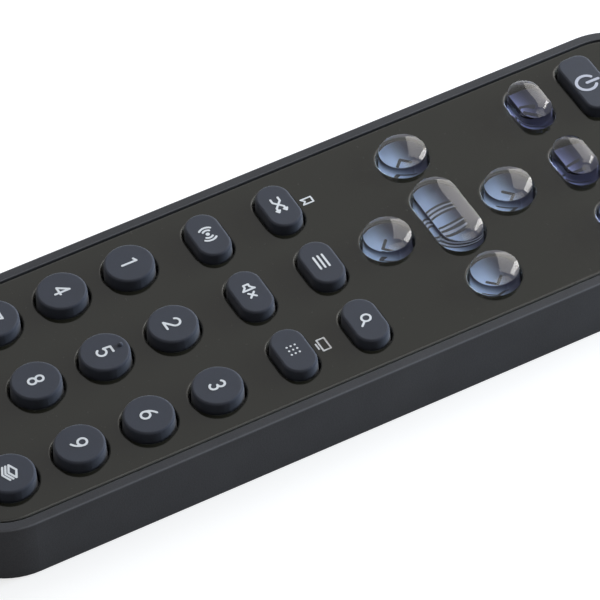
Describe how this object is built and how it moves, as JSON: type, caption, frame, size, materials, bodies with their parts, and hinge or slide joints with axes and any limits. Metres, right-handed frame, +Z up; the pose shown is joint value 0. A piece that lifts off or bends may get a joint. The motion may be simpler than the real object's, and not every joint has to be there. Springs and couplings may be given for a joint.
{
  "type": "remote control handset",
  "caption": "Slim remote control handset with a dark gloss face plate, rubber number and function keys, clear acrylic navigation keys and a coin cell tray in its lower end.",
  "frame": {"origin": "on the back, in the middle of the handset's outline", "axes": "+X across the keys to the right, +Y along the handset to the infrared end, +Z up out of the keys"},
  "size_m": [0.0424, 0.124, 0.0119],
  "materials": {
    "case_plastic": "fine moulded grain, dark charcoal",
    "plate_gloss": "smoked satin gloss",
    "adhesive_film": "matt adhesive film",
    "cover_plastic": "fine moulded grain, dark charcoal",
    "screw_steel": "zinc plated",
    "mat_rubber": "matt silicone",
    "board_laminate": "solder mask over glass laminate",
    "pad_carbon": "printed carbon",
    "chip_epoxy": "moulded epoxy",
    "resonator_ceramic": "dipped coating",
    "capacitor_can": "drawn can",
    "resistor_ceramic": "fired ceramic",
    "led_epoxy": "dark clear epoxy",
    "lead_tin": "tinned wire",
    "window_smoked": "smoked polished acrylic",
    "contact_spring": "plated spring strip",
    "cell_steel": "nickel plated",
    "key_rubber": "matt silicone, slate grey",
    "key_acrylic": "clear polished acrylic with a blue tint",
    "plunger_rubber": "pale translucent silicone"
  },
  "bodies": {
    "handset": {"upper_case": "case_plastic", "face_plate": "plate_gloss", "face_film": "adhesive_film", "back_cover": "cover_plastic", "case_screws": "screw_steel", "key_mat": "mat_rubber", "circuit_board": "board_laminate", "contact_pads": "pad_carbon", "controller_chip": "chip_epoxy", "ceramic_resonator": "resonator_ceramic", "capacitor": "capacitor_can", "transistor": "chip_epoxy", "chip_resistors": "resistor_ceramic", "infrared_led": "led_epoxy", "led_leads": "lead_tin", "infrared_window": "window_smoked", "cell_top_contact": "contact_spring", "cell_side_contact": "contact_spring"},
    "tray": {"battery_tray": "cover_plastic", "coin_cell": "cell_steel"},
    "key_1": {"key_1": "key_rubber"},
    "key_2": {"key_2": "key_rubber"},
    "key_3": {"key_3": "key_rubber"},
    "key_4": {"key_4": "key_rubber"},
    "key_5": {"key_5": "key_rubber"},
    "key_6": {"key_6": "key_rubber"},
    "key_7": {"key_7": "key_rubber"},
    "key_8": {"key_8": "key_rubber"},
    "key_9": {"key_9": "key_rubber"},
    "key_recall": {"key_recall": "key_rubber"},
    "key_0": {"key_0": "key_rubber"},
    "key_bank": {"key_bank": "key_rubber"},
    "key_radio": {"key_radio": "key_rubber"},
    "key_mute": {"key_mute": "key_rubber"},
    "key_direct": {"key_direct": "key_rubber"},
    "key_mix": {"key_mix": "key_rubber"},
    "key_menu": {"key_menu": "key_rubber"},
    "key_scan": {"key_scan": "key_rubber"},
    "key_power": {"key_power": "key_rubber"},
    "clear_up": {"cap_up": "key_acrylic", "plunger_up": "plunger_rubber"},
    "clear_down": {"cap_down": "key_acrylic", "plunger_down": "plunger_rubber"},
    "clear_left": {"cap_left": "key_acrylic", "plunger_left": "plunger_rubber"},
    "clear_right": {"cap_right": "key_acrylic", "plunger_right": "plunger_rubber"},
    "clear_long": {"cap_long": "key_acrylic", "plunger_long": "plunger_rubber"},
    "clear_upper_left": {"cap_upper_left": "key_acrylic", "plunger_upper_left": "plunger_rubber"},
    "clear_upper_middle": {"cap_upper_middle": "key_acrylic", "plunger_upper_middle": "plunger_rubber"},
    "clear_upper_right": {"cap_upper_right": "key_acrylic", "plunger_upper_right": "plunger_rubber"}
  },
  "joints": [
    {"name": "key_1_press", "type": "slide", "parent": "handset", "child": "key_1", "axis": [0, 0, -1], "range_m": [0, 0.0008], "stiffness_N_per_m": 150, "springref_m": -0.001},
    {"name": "key_2_press", "type": "slide", "parent": "handset", "child": "key_2", "axis": [0, 0, -1], "range_m": [0, 0.0008], "stiffness_N_per_m": 150, "springref_m": -0.001},
    {"name": "key_3_press", "type": "slide", "parent": "handset", "child": "key_3", "axis": [0, 0, -1], "range_m": [0, 0.0008], "stiffness_N_per_m": 150, "springref_m": -0.001},
    {"name": "key_4_press", "type": "slide", "parent": "handset", "child": "key_4", "axis": [0, 0, -1], "range_m": [0, 0.0008], "stiffness_N_per_m": 150, "springref_m": -0.001},
    {"name": "key_5_press", "type": "slide", "parent": "handset", "child": "key_5", "axis": [0, 0, -1], "range_m": [0, 0.0008], "stiffness_N_per_m": 150, "springref_m": -0.001},
    {"name": "key_6_press", "type": "slide", "parent": "handset", "child": "key_6", "axis": [0, 0, -1], "range_m": [0, 0.0008], "stiffness_N_per_m": 150, "springref_m": -0.001},
    {"name": "key_7_press", "type": "slide", "parent": "handset", "child": "key_7", "axis": [0, 0, -1], "range_m": [0, 0.0008], "stiffness_N_per_m": 150, "springref_m": -0.001},
    {"name": "key_8_press", "type": "slide", "parent": "handset", "child": "key_8", "axis": [0, 0, -1], "range_m": [0, 0.0008], "stiffness_N_per_m": 150, "springref_m": -0.001},
    {"name": "key_9_press", "type": "slide", "parent": "handset", "child": "key_9", "axis": [0, 0, -1], "range_m": [0, 0.0008], "stiffness_N_per_m": 150, "springref_m": -0.001},
    {"name": "key_recall_press", "type": "slide", "parent": "handset", "child": "key_recall", "axis": [0, 0, -1], "range_m": [0, 0.0008], "stiffness_N_per_m": 150, "springref_m": -0.001},
    {"name": "key_0_press", "type": "slide", "parent": "handset", "child": "key_0", "axis": [0, 0, -1], "range_m": [0, 0.0008], "stiffness_N_per_m": 150, "springref_m": -0.001},
    {"name": "key_bank_press", "type": "slide", "parent": "handset", "child": "key_bank", "axis": [0, 0, -1], "range_m": [0, 0.0008], "stiffness_N_per_m": 150, "springref_m": -0.001},
    {"name": "key_radio_press", "type": "slide", "parent": "handset", "child": "key_radio", "axis": [0, 0, -1], "range_m": [0, 0.0008], "stiffness_N_per_m": 150, "springref_m": -0.001},
    {"name": "key_mute_press", "type": "slide", "parent": "handset", "child": "key_mute", "axis": [0, 0, -1], "range_m": [0, 0.0008], "stiffness_N_per_m": 150, "springref_m": -0.001},
    {"name": "key_direct_press", "type": "slide", "parent": "handset", "child": "key_direct", "axis": [0, 0, -1], "range_m": [0, 0.0008], "stiffness_N_per_m": 150, "springref_m": -0.001},
    {"name": "key_mix_press", "type": "slide", "parent": "handset", "child": "key_mix", "axis": [0, 0, -1], "range_m": [0, 0.0008], "stiffness_N_per_m": 150, "springref_m": -0.001},
    {"name": "key_menu_press", "type": "slide", "parent": "handset", "child": "key_menu", "axis": [0, 0, -1], "range_m": [0, 0.0008], "stiffness_N_per_m": 150, "springref_m": -0.001},
    {"name": "key_scan_press", "type": "slide", "parent": "handset", "child": "key_scan", "axis": [0, 0, -1], "range_m": [0, 0.0008], "stiffness_N_per_m": 150, "springref_m": -0.001},
    {"name": "key_power_press", "type": "slide", "parent": "handset", "child": "key_power", "axis": [0, 0, -1], "range_m": [0, 0.0008], "stiffness_N_per_m": 150, "springref_m": -0.001},
    {"name": "clear_up_press", "type": "slide", "parent": "handset", "child": "clear_up", "axis": [0, 0, -1], "range_m": [0, 0.0008], "stiffness_N_per_m": 150, "springref_m": -0.001},
    {"name": "clear_down_press", "type": "slide", "parent": "handset", "child": "clear_down", "axis": [0, 0, -1], "range_m": [0, 0.0008], "stiffness_N_per_m": 150, "springref_m": -0.001},
    {"name": "clear_left_press", "type": "slide", "parent": "handset", "child": "clear_left", "axis": [0, 0, -1], "range_m": [0, 0.0008], "stiffness_N_per_m": 150, "springref_m": -0.001},
    {"name": "clear_right_press", "type": "slide", "parent": "handset", "child": "clear_right", "axis": [0, 0, -1], "range_m": [0, 0.0008], "stiffness_N_per_m": 150, "springref_m": -0.001},
    {"name": "clear_long_press", "type": "slide", "parent": "handset", "child": "clear_long", "axis": [0, 0, -1], "range_m": [0, 0.0008], "stiffness_N_per_m": 150, "springref_m": -0.001},
    {"name": "clear_upper_left_press", "type": "slide", "parent": "handset", "child": "clear_upper_left", "axis": [0, 0, -1], "range_m": [0, 0.0008], "stiffness_N_per_m": 150, "springref_m": -0.001},
    {"name": "clear_upper_middle_press", "type": "slide", "parent": "handset", "child": "clear_upper_middle", "axis": [0, 0, -1], "range_m": [0, 0.0008], "stiffness_N_per_m": 150, "springref_m": -0.001},
    {"name": "clear_upper_right_press", "type": "slide", "parent": "handset", "child": "clear_upper_right", "axis": [0, 0, -1], "range_m": [0, 0.0008], "stiffness_N_per_m": 150, "springref_m": -0.001},
    {"name": "tray_slide", "type": "slide", "parent": "handset", "child": "tray", "axis": [0, -1, 0], "range_m": [0, 0.026]}
  ]
}
